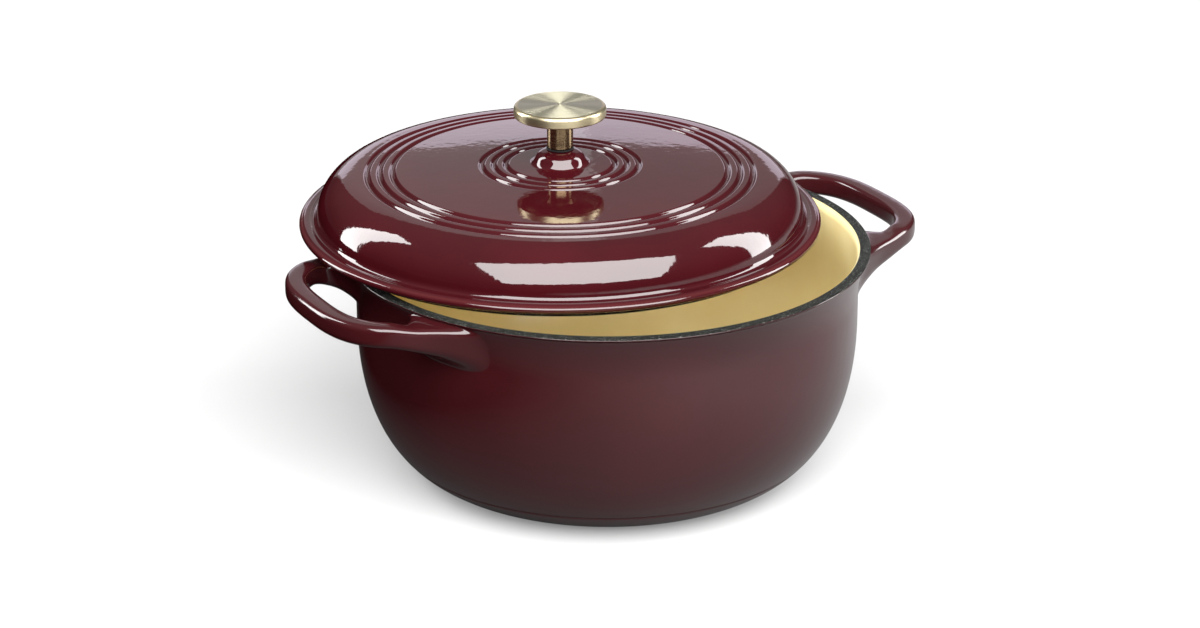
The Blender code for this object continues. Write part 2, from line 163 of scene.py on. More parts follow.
# Finishes: colours, roughness, and the height of the enamel's relief
# the second colour of each set serves both pooled enamel and painted shade
POT_COLOURS = (0.029, 0.0040, 0.0052), (0.024, 0.0034, 0.0044), (0.07, 0.015, 0.015)  # plain, pooled, thin
LID_COLOURS = (0.032, 0.0026, 0.0042), (0.025, 0.0021, 0.0034), (0.08, 0.015, 0.015)
POT_ROUGHNESS, POT_PEEL = 0.12, 0.00004
LID_ROUGHNESS, LID_PEEL = 0.05, 0.00005
CREAM, WARM_CREAM = (0.87, 0.75, 0.41), (0.84, 0.70, 0.35)
# the rim's second colour is for painted glints: pale specks of light on the black band
RIM_BLACK, RIM_GLINT = (0.003, 0.0035, 0.003), (0.20, 0.21, 0.19)
# the neck's brass is darker as painted shade from the disc above it
DISC_BRASS, EDGE_BRASS, SHADED_NECK_BRASS = (0.50, 0.475, 0.355), (0.60, 0.52, 0.33), (0.34, 0.25, 0.14)
WASHER_BLACK = (0.008, 0.007, 0.007)
ZINC = (0.60, 0.60, 0.58)


# ---------------------------------------------------------------- mesh building


def smooth(t):
    """Eases from 0 to 1: 3t^2 - 2t^3, held at its ends."""
    t = np.clip(t, 0.0, 1.0)
    return t * t * (3 - 2 * t)


def arc(start, corner, end, steps=8):
    """A rounded corner: the quadratic curve (1-t)^2 start + 2t(1-t) corner + t^2 end."""
    t = np.linspace(0.0, 1.0, steps + 1)[:, None]
    start, corner, end = (np.asarray(p, dtype=float) for p in (start, corner, end))
    return (1 - t) ** 2 * start + 2 * t * (1 - t) * corner + t**2 * end


def path(*parts):
    """Joins runs of (radius, height) points into one profile and drops repeated points."""
    points = np.concatenate([np.atleast_2d(np.asarray(part, dtype=float)) for part in parts])
    keep = np.r_[True, np.linalg.norm(np.diff(points, axis=0), axis=1) > 1e-6]
    return points[keep]


def turned_grid(profile, steps, centre=(0.0, 0.0)):
    """Turns (radius, height) points about an upright axis: x = cx + r cos a, y = cy + r sin a."""
    angle = np.linspace(0.0, 2 * math.pi, steps, endpoint=False)
    radius, height = profile[:, 0:1], profile[:, 1:2]
    x = centre[0] + radius * np.cos(angle)
    y = centre[1] + radius * np.sin(angle)
    return np.stack([x, y, np.broadcast_to(height, x.shape)], axis=2)


class Skin:
    """Collects closed grids of points and makes one smooth mesh of them."""

    def __init__(self):
        self.count = 0
        self.points, self.faces, self.slots, self.uvs, self.tones = [], [], [], [], []

    def add(self, grid, slots=0, tone=0.0):
        """Adds one grid, closed round its columns and at both ends with a point in the middle of the end row.

        Rows run along the profile and columns round it. The slots are one material index per step of the
        profile, or one for all. The tone, one per row or one for all, is stored at each point. A grid whose
        volume comes out negative is turned inside out.
        """
        rows, columns = grid.shape[:2]
        ends = np.stack([grid[0].mean(axis=0), grid[-1].mean(axis=0)])
        points = np.concatenate([grid.reshape(-1, 3), ends])
        row, column = (a.ravel() for a in np.mgrid[0 : rows - 1, 0:columns])
        after = (column + 1) % columns
        near, far = row * columns, (row + 1) * columns
        quads = np.stack([near + column, far + column, far + after, near + after], axis=1)
        along = np.linalg.norm(np.diff(grid, axis=0), axis=2).mean(axis=1)
        v = np.r_[0.0, np.cumsum(along)]
        u = np.stack([column, column, column + 1, column + 1], axis=1) / columns
        quad_uv = np.stack([u, v[np.stack([row, row + 1, row + 1, row], axis=1)]], axis=2)

        ring = np.arange(columns)
        following = (ring + 1) % columns
        last = (rows - 1) * columns
        first_fan = np.stack([np.full(columns, rows * columns), ring, following], axis=1)
        last_fan = np.stack([last + ring, np.full(columns, rows * columns + 1), last + following], axis=1)
        fans = np.concatenate([first_fan, last_fan])
        fan_u = np.stack([ring + 0.5, ring, ring + 1], axis=1) / columns
        last_u = np.stack([ring, ring + 0.5, ring + 1], axis=1) / columns
        fan_uv = np.concatenate([
            np.stack([fan_u, np.zeros_like(fan_u)], axis=2),
            np.stack([last_u, np.full_like(last_u, v[-1])], axis=2),
        ])

        corners = points[np.concatenate([fans, quads[:, :3], quads[:, [0, 2, 3]]])]
        volume = np.einsum("ij,ij->i", corners[:, 0], np.cross(corners[:, 1], corners[:, 2])).sum()
        if volume < 0:
            quads, quad_uv, fans, fan_uv = quads[:, ::-1], quad_uv[:, ::-1], fans[:, ::-1], fan_uv[:, ::-1]

        slots = np.broadcast_to(np.asarray(slots), (rows - 1,))
        tones = np.broadcast_to(np.asarray(tone, dtype=float), (columns, rows)).T
        self.points.append(points)
        self.faces.append((quads + self.count, fans + self.count))
        self.slots.append((slots[row], np.r_[np.full(columns, slots[0]), np.full(columns, slots[-1])]))
        self.uvs.append((quad_uv.reshape(-1, 2), fan_uv.reshape(-1, 2)))
        self.tones.append(np.r_[tones.ravel(), tones[0].mean(), tones[-1].mean()])
        self.count += len(points)

    def make(self, name, body, nodes, materials):
        """Makes the mesh with its UV map and tone attribute, and ties it to its body, CAD nodes and slot."""
        points = np.concatenate(self.points)
        corners = [part.ravel() for pair in self.faces for part in pair]
        sizes = [np.full(len(part), part.shape[1]) for pair in self.faces for part in pair]
        slots = [part for pair in self.slots for part in pair]
        uvs = [part for pair in self.uvs for part in pair]
        corners, sizes, slots, uvs = (np.concatenate(a) for a in (corners, sizes, slots, uvs))
        mesh = bpy.data.meshes.new(name)
        mesh.vertices.add(len(points))
        mesh.vertices.foreach_set("co", points.ravel())
        mesh.loops.add(len(corners))
        mesh.loops.foreach_set("vertex_index", corners.astype(np.int32))
        mesh.polygons.add(len(sizes))
        mesh.polygons.foreach_set("loop_start", np.r_[0, np.cumsum(sizes)[:-1]].astype(np.int32))
        mesh.polygons.foreach_set("material_index", slots.astype(np.int32))
        mesh.uv_layers.new(name="UVMap").data.foreach_set("uv", uvs.ravel())
        tone = mesh.attributes.new("tone", "FLOAT", "POINT")
        tone.data.foreach_set("value", np.concatenate(self.tones))
        mesh.update()
        mesh.validate()
        mesh.shade_smooth()
        for material in materials:
            mesh.materials.append(material)
        piece = bpy.data.objects.new(name, mesh)
        bpy.context.scene.collection.objects.link(piece)
        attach(piece, body)
        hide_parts(*nodes)
        return piece


# ---------------------------------------------------------------- pot


def body_radius(z, base, wall, low, flare):
    """Radius of the pot's side at height z.

    Below the curve's height it is base + (wall - base)(1 - d^n)^(1/n), where d runs from 1 at the bottom to 0;
    above it the wall is straight, then flares by the square of the rise.
    """
    depth = np.clip((BODY_CURVE_HEIGHT - z) / (BODY_CURVE_HEIGHT - low), 0.0, 1.0)
    curve = base + (wall - base) * (1 - depth**BODY_EXPONENT) ** (1 / BODY_EXPONENT)
    rise = np.clip((z - POT_HEIGHT + FLARE_HEIGHT) / FLARE_HEIGHT, 0.0, 1.0)
    return curve + (flare - wall) * rise**2


def outer_radius(z):
    """Radius of the pot's outside, with the thin line turned round it above the foot."""
    line = np.exp(-(((z - FOOT_LINE_HEIGHT) / (FOOT_LINE_WIDTH / 2)) ** 2))
    return body_radius(z, BASE_RADIUS, WALL_RADIUS, 0.0, RIM_RADIUS) - FOOT_LINE_DEPTH * line


def inner_radius(z):
    """Radius of the pot's inside."""
    return body_radius(z, BASE_RADIUS - WALL, WALL_RADIUS - WALL, FLOOR, RIM_RADIUS - RIM_WIDTH)


def pot_profile():
    """The pot's section: floor, inside, over the rim, outside and base."""
    ease = 1 - np.cos(np.linspace(0.0, math.pi / 2, 60))
    inside_z = FLOOR + (POT_HEIGHT - RIM_EDGE - FLOOR) * ease**1.25
    inside = np.stack([inner_radius(inside_z), inside_z], axis=1)
    floor = np.stack([np.linspace(0.002, inside[0, 0], 24), np.full(24, FLOOR)], axis=1)
    inner_edge, outer_edge = RIM_RADIUS - RIM_WIDTH, RIM_RADIUS
    top, below = POT_HEIGHT, POT_HEIGHT - RIM_EDGE
    lip = arc((inner_edge, below), (inner_edge, top), (inner_edge + RIM_EDGE, top), 6)
    across = np.linspace(inner_edge + RIM_EDGE, outer_edge - RIM_EDGE, 6)
    crown = np.stack([across, np.full(6, top)], axis=1)
    brow = arc((outer_edge - RIM_EDGE, top), (outer_edge, top), (outer_edge, below), 6)
    line_top, line_foot = FOOT_LINE_HEIGHT + 0.002, FOOT_LINE_HEIGHT - 0.002
    high = np.linspace(below, line_top, 60)
    line = np.linspace(line_top, line_foot, 26)
    foot = line_foot * (1 - np.sin(np.linspace(0.0, math.pi / 2, 24))) ** 1.3
    outside_z = np.concatenate([high, line, foot])
    outside = np.stack([outer_radius(outside_z), outside_z], axis=1)
    under = np.stack([np.linspace(BASE_RADIUS, 0.002, 18), np.zeros(18)], axis=1)
    return path(floor, inside, lip, crown, brow, outside, under)


def pot_bands(profile):
    """Finish of each step of the section: 1 cream inside, 2 the bare rim band, 0 the outside."""
    middle = (profile[1:] + profile[:-1]) / 2
    crown = np.argmax(profile[:, 1] > POT_HEIGHT - 1e-6)
    inside = np.arange(len(middle)) < crown - 2
    band = (middle[:, 1] > POT_HEIGHT - RIM_EDGE * 0.35) & ~inside
    return np.where(inside, 1, np.where(band, 2, 0))


def handle_plan(count):
    """Centre line of one loop in plan, evenly spaced along a superellipse, from one wall to the other."""
    centre_x = RIM_RADIUS - HANDLE_START
    reach = HANDLE_END - GRIP_WIDTH / 2 - centre_x
    angle = np.linspace(-math.pi / 2, math.pi / 2, 4001)
    x = centre_x + reach * np.abs(np.cos(angle)) ** (2 / HANDLE_EXPONENT)
    y = HANDLE_HALF_SPAN * np.sign(angle) * np.abs(np.sin(angle)) ** (2 / HANDLE_EXPONENT)
    middle = POT_HEIGHT - ROOT_DROP - ROOT_HEIGHT / 2
    outside = x > np.sqrt(outer_radius(middle) ** 2 - y**2) + ROOT_GAP
    x, y = x[outside], y[outside]
    travelled = np.r_[0.0, np.cumsum(np.hypot(np.diff(x), np.diff(y)))]
    even = np.linspace(0.0, travelled[-1], count)
    return np.interp(even, travelled, x), np.interp(even, travelled, y), even


def wall_x(y, z):
    """How far out along X the pot's wall lies at this y and height."""
    return np.sqrt(np.maximum(outer_radius(z) ** 2 - y**2, 1e-6))


def handle_grid(side, count=150, around=56):
    """One loop handle from wall to wall.

    The section is a rounded box: across = w sign(c)|c|^(2/p), down from the top by h/2 (1 - sign(s)|s|^(2/q)),
    squarer above than below. It widens and deepens towards each root as a power of the nearness to the wall,
    where the rows lean to follow the wall, and the last rows curve out onto it as a fillet.
    """
    x, y, travelled = handle_plan(count)
    step_x, step_y = np.gradient(x), np.gradient(y)
    length = np.hypot(step_x, step_y)
    out_x, out_y = step_y / length, -step_x / length
    nearness = 1 - np.clip(np.minimum(travelled, travelled[-1] - travelled) / ROOT_LENGTH, 0.0, 1.0)
    nearness = nearness[:, None]
    half = GRIP_WIDTH / 2
    inward = half + (ROOT_INWARD - half) * nearness**ROOT_SPREAD
    outward = half + (ROOT_OUTWARD - half) * nearness**ROOT_SPREAD
    height = GRIP_HEIGHT + (ROOT_HEIGHT - GRIP_HEIGHT) * nearness**ROOT_DEEPENING
    top = POT_HEIGHT - GRIP_DROP - (ROOT_DROP - GRIP_DROP) * smooth(nearness * 1.5)

    angle = np.linspace(0.0, 2 * math.pi, around, endpoint=False)
    c, s = np.cos(angle), np.sin(angle)
    power = np.where(s > 0, 2 / 4.6, 2 / 3.2)
    across = np.sign(c) * np.abs(c) ** power
    rise = np.sign(s) * np.abs(s) ** power
    offset = across * np.where(c > 0, outward, inward)
    crown = 0.00035 * (1 - across**2) * (s > 0) * (1 - nearness)
    z = top - height / 2 * (1 - rise) - 0.00035 * (1 - nearness) + crown
    px = x[:, None] + out_x[:, None] * offset
    py = y[:, None] + out_y[:, None] * offset
    lean = wall_x(py, z) - wall_x(y[:, None], top - height / 2)
    px = px + lean * smooth(nearness * 1.15)

    def root(end, before):
        """The fillet rows of one end: they go on as the bar was going, then turn out onto the wall."""
        away_y = (py[end] - y[end]) / np.abs(py[end] - y[end]).max()
        away_z = (z[end] - z[end].mean()) / np.abs(z[end] - z[end].mean()).max()
        size = LOW_FILLET + (TOP_FILLET - LOW_FILLET) * smooth(0.5 + rise)
        size = size + (SIDE_FILLET - size) * across**4 * (1 - smooth(rise * 3 - 2))
        start, step = bar[end], bar[end] - bar[before]
        corner = start
        for _ in range(3):
            gap = start[:, 0] - wall_x(corner[:, 1], corner[:, 2])
            corner = start - step * (gap / step[:, 0])[:, None]
        corner[:, 2] = np.minimum(corner[:, 2], POT_HEIGHT - RIM_EDGE)
        corner[:, 0] = wall_x(corner[:, 1], corner[:, 2])
        foot_y = corner[:, 1] + away_y * size
        foot_z = np.minimum(corner[:, 2] + away_z * size, POT_HEIGHT - RIM_EDGE)
        foot = np.stack([wall_x(foot_y, foot_z) - 0.0002, foot_y, foot_z], axis=1)
        t = np.linspace(0.0, 1.0, 9)[1:, None, None]
        return (1 - t) ** 2 * start + 2 * t * (1 - t) * corner + t**2 * foot

    bar = np.stack([px, py, z], axis=2)
    first, last = root(0, 1), root(-1, -2)
    grid = np.concatenate([first[::-1], bar, last])
    return grid * np.array([side, side, 1.0])


def build_pot(outside, inside, band):
    """The pot casting with both handles, in one piece."""
    skin = Skin()
    profile = pot_profile()
    skin.add(turned_grid(profile, 256), pot_bands(profile))
    skin.add(handle_grid(-1))
    skin.add(handle_grid(1))
    skin.make("enamelled_pot", "pot", ["pot_casting"], [outside, inside, band])


# ---------------------------------------------------------------- lid


def dome_height(r):
    """Height of the lid's plain outer surface.

    A shallow crown falls by the square of the radius to the shoulder, which turns down to the crease as
    a superellipse.
    """
    across = np.clip((r - SHOULDER_RADIUS) / SHOULDER_WIDTH, 0.0, 1.0)
    shoulder = FLANGE + (SHOULDER_HEIGHT - FLANGE) * (1 - across**SHOULDER_EXPONENT) ** (1 / SHOULDER_EXPONENT)
    crown = SHOULDER_HEIGHT + CROWN_RISE * (1 - (r / SHOULDER_RADIUS) ** 2)
    return np.where(r >= SHOULDER_RADIUS, shoulder, crown)


def groove_dip(r):
    """Depth of the turned grooves at radius r: a cosine dip about each groove's radius."""
    grooves = np.concatenate([OUTER_GROOVES, INNER_GROOVES])
    reach = np.clip((r[:, None] - grooves) / (GROOVE_WIDTH / 2), -1.0, 1.0)
    return (GROOVE_DEPTH * (0.5 + 0.5 * np.cos(math.pi * reach))).sum(axis=1)


def lid_top():
    """The lid's upper section from the bolt hole to the flange: boss, grooved crown, shoulder and crease."""
    peak = dome_height(np.array(0.0)) + BOSS_HEIGHT
    foot = (BOSS_BASE_RADIUS, float(dome_height(np.array(BOSS_BASE_RADIUS))))
    waist = (BOSS_WAIST_RADIUS, peak - BOSS_HEIGHT * 0.51)
    boss = path(
        (BOLT_HOLE, peak),
        arc((BOSS_TOP_RADIUS, peak), (BOSS_WAIST_RADIUS - 0.0014, peak - 0.0008), waist, 24),
        arc(waist, (BOSS_WAIST_RADIUS + 0.0013, foot[1] + 0.0006), foot, 18),
    )
    r = np.concatenate([
        np.linspace(BOSS_BASE_RADIUS, 0.026, 12)[1:], np.linspace(0.026, 0.046, 84)[1:],
        np.linspace(0.046, 0.086, 24)[1:], np.linspace(0.086, SHOULDER_RADIUS, 84)[1:],
    ])
    crown = np.stack([r, dome_height(r) - groove_dip(r)], axis=1)
    turn = np.linspace(0.0, math.pi / 2, 48)[1:]
    r = SHOULDER_RADIUS + SHOULDER_WIDTH * np.sin(turn) ** 0.8
    z = dome_height(r)
    keep = z > FLANGE + CREASE_FILLET
    shoulder = np.stack([r[keep], z[keep]], axis=1)
    end = (CREASE_RADIUS + CREASE_FILLET, FLANGE - 0.0003)
    crease = arc(shoulder[-1], (CREASE_RADIUS + 0.0002, FLANGE - 0.0006), end, 12)
    return path(boss, crown, shoulder, crease)


def lid_under(r):
    """Height of the lid's hollow underside: the outer surface's shape, one wall lower and further in."""
    return dome_height(np.minimum(CREASE_RADIUS, r + LID_WALL * 0.75)) - LID_WALL


def lid_profile():
    """The lid's whole section: top, flange, lip and underside, with the first index of each finish band."""
    top = lid_top()
    out, inner = LID_RADIUS, CREASE_RADIUS + CREASE_FILLET
    brink, side = (out - 0.0019, FLANGE - 0.0005), (out, FLANGE - 0.0024)
    flange = path(
        arc((inner, FLANGE - 0.0003), ((inner + out) / 2, FLANGE + 0.0007), brink, 14),
        arc(brink, (out, FLANGE - 0.0010), side, 10),
        arc(side, (out, 0.0003), (out - 0.0011, 0.0), 8),
    )
    lip_out = RIM_RADIUS - RIM_WIDTH - LIP_CLEARANCE
    lip_in = lip_out - LIP_WIDTH
    low = -LIP_HEIGHT
    lip = path(
        (lip_out + 0.0008, 0.0),
        arc((lip_out + 0.0008, 0.0), (lip_out, 0.0), (lip_out - 0.0001, -0.0010), 5),
        arc((lip_out - 0.0006, low + 0.0012), (lip_out - 0.0008, low), (lip_out - 0.0018, low), 6),
        arc((lip_in + 0.0012, low), (lip_in + 0.0002, low), (lip_in, low + 0.0014), 6),
        (lip_in - 0.0002, 0.0),
    )
    start = CREASE_RADIUS - LID_WALL
    turn = np.linspace(math.pi / 2, 0.0, 40)
    r = SHOULDER_RADIUS - LID_WALL + (start - SHOULDER_RADIUS + LID_WALL) * np.sin(turn)
    r = np.concatenate([r, np.linspace(SHOULDER_RADIUS - LID_WALL, 0.013, 40)[1:]])
    r = np.minimum(r, lip_in - 0.0012)
    under = np.stack([r, lid_under(r)], axis=1)
    pad_height = float(lid_under(np.array(0.0)))
    pad = path((0.0125, pad_height + 0.0003), (0.012, pad_height), (BOLT_HOLE, pad_height))
    profile = path(top, flange, lip, under, pad)
    bare = len(path(top, flange))
    cream = len(path(top, flange, lip))
    return profile, bare, cream


def lid_tone(profile, top_count):
    """Where the enamel pools (grooves and crease, positive) or thins (edges, negative) along the section, with
    painted shade (positive) along the flange's lower edge.
    """
    r, z = profile[:, 0], profile[:, 1]
    pooled_and_shaded = groove_dip(r) / GROOVE_DEPTH
    # painted shade: the flange's lower edge is darkened as if in shadow
    pooled_and_shaded += (r > LID_RADIUS - 0.002) * (1 - smooth(z / (FLANGE * 0.55)))
    pooled_and_shaded += np.exp(-(((r - CREASE_RADIUS - 0.0006) / 0.0016) ** 2))
    thinned = 0.5 * np.exp(-(((r - LID_RADIUS + 0.0012) / 0.0009) ** 2))
    return np.where(np.arange(len(r)) < top_count, pooled_and_shaded - thinned, 0.0)


def build_lid(outside, inside, band):
    """The lid casting: glossy above, a bare ring under the flange, cream in the hollow."""
    profile, bare, cream = lid_profile()
    step = np.arange(len(profile) - 1)
    slots = np.where(step < bare - 1, 0, np.where(step < cream - 1, 2, 1))
    tone = lid_tone(profile, bare)
    profile = profile + np.array([0.0, LID_BASE])
    skin = Skin()
    profile = np.concatenate([profile, profile[:1]])
    skin.add(turned_grid(profile, 288, LID_CENTRE), np.r_[slots, 0], np.r_[tone, tone[0]])
    skin.make("enamelled_lid", "lid", ["lid_casting"], [outside, inside, band])


# ---------------------------------------------------------------- knob and fastening


def build_knob(disc, edge, neck, washer_finish):
    """The knob: a disc with a rounded edge on a stem that spreads under it, and the seat washer."""
    top, skirt = CAP_HIGH[2], CAP_LOW[2]
    full = KNOB_RADIUS
    face_r = np.linspace(0.0004, full - KNOB_EDGE, 40)
    face = np.stack([face_r, top - KNOB_CROWN * (face_r / full) ** 2], axis=1)
    edge_top = face[-1, 1]
    low = skirt + 0.0012
    cap = path(
        face,
        arc(face[-1], (full - 0.0001, edge_top - 0.0001), (full, edge_top - KNOB_EDGE), 14),
        np.stack([np.full(6, full), np.linspace(edge_top - KNOB_EDGE, low, 6)], axis=1),
        arc((full, low), (full, skirt), (full - 0.0012, skirt), 8),
        (full - 0.0020, skirt + 0.0002), (full - 0.0020, skirt + 0.0008),
        np.stack([np.linspace(full - 0.003, 0.001, 6), np.full(6, skirt + 0.0009)], axis=1),
    )
    skin = Skin()
    slots = np.where(np.arange(len(cap) - 1) < len(face) - 1, 0, 1)
    skin.add(turned_grid(cap, 160, LID_CENTRE), slots)
    skin.make("knob_disc", "lid", ["knob_cap"], [disc, edge])

    foot, plate = STEM_FOOT, skirt
    flare_foot = (STEM_RADIUS, plate - STEM_FLARE)
    stem = path(
        (0.0035, foot), (STEM_RADIUS - 0.0009, foot),
        arc((STEM_RADIUS - 0.0009, foot), (STEM_RADIUS, foot), (STEM_RADIUS, foot + 0.0009), 6),
        np.stack([np.full(8, STEM_RADIUS), np.linspace(foot + 0.0009, flare_foot[1], 8)], axis=1),
        arc(flare_foot, (STEM_RADIUS, plate - 0.0002), (STEM_RADIUS + STEM_FLARE, plate + 0.0001), 12),
        (full - 0.0030, plate + 0.0003), (full - 0.0030, plate + 0.0007), (0.0035, plate + 0.0007),
    )
    skin = Skin()
    skin.add(turned_grid(stem, 128, LID_CENTRE))
    skin.make("knob_neck", "lid", ["knob_stem"], [neck])

    low, high = (np.array(corner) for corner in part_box("seat_washer"))
    out = (high[0] - low[0]) / 2
    ring = path(
        (0.0036, high[2]), arc((out - 0.0003, high[2]), (out, high[2]), (out, high[2] - 0.0003), 4),
        arc((out, low[2] + 0.0003), (out, low[2]), (out - 0.0003, low[2]), 4),
        (0.0036, low[2]), (0.0036, high[2]),
    )
    skin = Skin()
    skin.add(turned_grid(ring, 96, LID_CENTRE))
    skin.make("seat_ring", "lid", ["seat_washer"], [washer_finish])


def build_fastening(finish):
    """Under the lid: a flat washer with rounded edges, a split spring washer and a cross-headed screw."""
    low, high = (np.array(corner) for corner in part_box("flat_washer"))
    out, edge = (high[0] - low[0]) / 2, 0.00025
    ring = path(
        (BOLT_HOLE, high[2]), arc((out - edge, high[2]), (out, high[2]), (out, high[2] - edge), 4),
        arc((out, low[2] + edge), (out, low[2]), (out - edge, low[2]), 4),
        arc((BOLT_HOLE + edge, low[2]), (BOLT_HOLE, low[2]), (BOLT_HOLE, low[2] + edge), 4),
        (BOLT_HOLE, high[2]),
    )
    skin = Skin()
    skin.add(turned_grid(ring, 96, LID_CENTRE))
    skin.make("flat_washer_ring", "lid", ["flat_washer"], [finish])
    skin = Skin()
    skin.add(spring_grid())
    skin.make("spring_washer", "lid", ["lock_washer"], [finish])
    skin = Skin()
    skin.add(screw_grid())
    skin.make("cross_screw", "lid", ["knob_screw"], [finish])


def spring_grid(turns=90, around=16):
    """The split washer: a rounded square section swept round the screw, climbing a little from end to end."""
    low, high = (np.array(corner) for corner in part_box("lock_washer"))
    out = (high[1] - low[1]) / 2 - 0.00002
    width, climb = out - BOLT_HOLE, 0.0002
    height = high[2] - low[2] - climb
    gap = SPLIT / 2 / out
    turn = np.linspace(gap, 2 * math.pi - gap, turns)[:, None]
    angle = np.linspace(0.0, 2 * math.pi, around, endpoint=False)
    c, s = np.cos(angle), np.sin(angle)
    radius = out - width / 2 + width / 2 * np.sign(c) * np.abs(c) ** 0.4
    rise = height / 2 * (1 + np.sign(s) * np.abs(s) ** 0.4)
    z = low[2] + rise + climb * turn / (2 * math.pi)
    return np.stack([LID_CENTRE[0] + radius * np.cos(turn), LID_CENTRE[1] + radius * np.sin(turn), z], axis=2)


def screw_grid():
    """The screw: a domed head with a cross pressed up into it, and a plain shank.

    The cross is where the lesser of |x| and |y| is under its half-width and the greater under its half-length.
    """
    low, high = (np.array(corner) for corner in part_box("knob_screw"))
    head, bottom, tip = (high[0] - low[0]) / 2, low[2], high[2]
    face = bottom + HEAD_HEIGHT
    r = np.linspace(0.00005, head * 0.62, 44)
    dome = np.stack([r, bottom + 0.0005 * (r / head) ** 2], axis=1)
    side = arc(dome[-1], (head, dome[-1, 1] + 0.0006), (head, bottom + HEAD_HEIGHT * 0.62), 16)
    profile = path(
        dome, side, (head, face - 0.0002), (head - 0.0002, face), (SCREW_RADIUS, face),
        (SCREW_RADIUS, tip - 0.0009), (SCREW_RADIUS - 0.0009, tip), (0.0001, tip),
    )
    grid = turned_grid(profile, 176, LID_CENTRE)
    x, y = np.abs(grid[..., 0] - LID_CENTRE[0]), np.abs(grid[..., 1] - LID_CENTRE[1])
    narrow, long = np.minimum(x, y), np.maximum(x, y)
    cross = smooth((CROSS_WIDTH / 2 - narrow) / 0.0003 + 0.5) * smooth((CROSS_LENGTH / 2 - long) / 0.0009)
    grid[..., 2] += np.where(grid[..., 2] < face - 0.001, CROSS_DEPTH * cross, 0.0)
    return grid


# ---------------------------------------------------------------- finishes


def ranged(tree, value, low, high, to_low, to_high):
    """Maps a socket's value from one range to another, held at the ends."""
    node = tree.nodes.new("ShaderNodeMapRange")
    for name, number in zip(("From Min", "From Max", "To Min", "To Max"), (low, high, to_low, to_high)):
        node.inputs[name].default_value = number
    tree.links.new(value, node.inputs["Value"])
    return node.outputs["Result"]


class Finish:
    """A Principled material under construction, with short ways to add and join nodes."""

    def __init__(self, name, color, roughness, **settings):
        self.material = bpy.data.materials.new(name)
        self.material.use_nodes = True
        self.tree = self.material.node_tree
        self.shader = self.tree.nodes["Principled BSDF"]
        self.shader.inputs["Base Color"].default_value = (*color, 1.0)
        self.shader.inputs["Roughness"].default_value = roughness
        for key, value in settings.items():
            self.shader.inputs[key.replace("_", " ").title().replace("Ior", "IOR")].default_value = value

    def node(self, kind, **values):
        """Adds a node. Values name its settings or, where they match a socket, its inputs."""
        node = self.tree.nodes.new(kind)
        for key, value in values.items():
            if hasattr(node, key):
                setattr(node, key, value)
            else:
                node.inputs[key.replace("_", " ").title()].default_value = value
        return node

    def link(self, source, target):
        """Joins an output socket to an input socket."""
        self.tree.links.new(source, target)

    def noise(self, scale, detail=3.0, roughness=0.5):
        """A noise pattern in the object's own metres; returns its value socket."""
        noise = self.node("ShaderNodeTexNoise", scale=scale, detail=detail, roughness=roughness)
        self.link(self.node("ShaderNodeTexCoord").outputs["Object"], noise.inputs["Vector"])
        return noise.outputs["Fac"]

    def remap(self, value, low, high, to_low, to_high):
        """Maps a value from one range to another, held at the ends."""
        return ranged(self.tree, value, low, high, to_low, to_high)

    def mix(self, factor, first, second):
        """Mixes two colours; each is a colour or a socket."""
        node = self.node("ShaderNodeMix", data_type="RGBA")
        self.link(factor, node.inputs["Factor"])
        for socket, value in ((node.inputs[6], first), (node.inputs[7], second)):
            if isinstance(value, tuple):
                socket.default_value = (*value, 1.0)
            else:
                self.link(value, socket)
        return node.outputs[2]

    def color(self, socket):
        """Feeds the base colour."""
        self.link(socket, self.shader.inputs["Base Color"])

    def rough(self, socket):
        """Feeds the roughness."""
        self.link(socket, self.shader.inputs["Roughness"])

    def bump(self, height, strength, distance):
        """Adds relief. Each call builds on the one before."""
        node = self.node("ShaderNodeBump", strength=strength, distance=distance)
        before = self.shader.inputs["Normal"].links
        if before:
            self.link(before[0].from_socket, node.inputs["Normal"])
        self.link(height, node.inputs["Height"])
        self.link(node.outputs["Normal"], self.shader.inputs["Normal"])

    def tone(self):
        """The piece's stored tone: positive where enamel pools and where shade is painted, negative where it
        thins.
        """
        return self.node("ShaderNodeAttribute", attribute_name="tone").outputs["Fac"]


def burgundy(name, base, dark, bright, roughness, peel):
    """Glass enamel over iron: a deep colour, darker where it pools and where shade is painted, with the soft
    relief of orange peel.
    """
    finish = Finish(name, base, roughness, ior=1.56)
    cloud = finish.mix(finish.remap(finish.noise(14.0, 3.0), 0.38, 0.66, 0.0, 1.0), base, dark)
    tone = finish.tone()
    pooled_and_shaded = finish.mix(finish.remap(tone, 0.0, 1.0, 0.0, 0.55), cloud, dark)
    finish.color(finish.mix(finish.remap(tone, 0.0, -1.0, 0.0, 0.6), pooled_and_shaded, bright))
    finish.rough(finish.remap(finish.noise(60.0, 4.0), 0.3, 0.7, roughness * 0.85, roughness * 1.2))
    finish.bump(finish.noise(520.0, 1.0), 1.0, peel * 0.15)
    finish.bump(finish.noise(210.0, 1.0), 1.0, peel)
    finish.bump(finish.noise(34.0, 1.0), 1.0, peel * 3.0)
    return finish.material


def cream_enamel():
    """Smooth cream enamel, faintly mottled."""
    finish = Finish("cream_enamel", CREAM, 0.22, ior=1.5)
    finish.color(finish.mix(finish.remap(finish.noise(30.0, 5.0), 0.35, 0.7, 0.0, 1.0), CREAM, WARM_CREAM))
    finish.bump(finish.noise(180.0, 1.5), 1.0, 0.00006)
    return finish.material


def bare_rim():
    """Matt black rim band, rough, with pale specks painted on as glints of light."""
    finish = Finish("rim_band", RIM_BLACK, 0.6, specular_ior_level=0.10)
    # painted glints: pale specks mixed into the black colour stand for light caught by the rough band
    glints = finish.remap(finish.noise(1500.0, 3.0, 0.65), 0.58, 0.68, 0.0, 1.0)
    finish.color(finish.mix(glints, RIM_BLACK, RIM_GLINT))
    finish.bump(finish.noise(650.0, 3.0, 0.6), 1.0, 0.00014)
    return finish.material


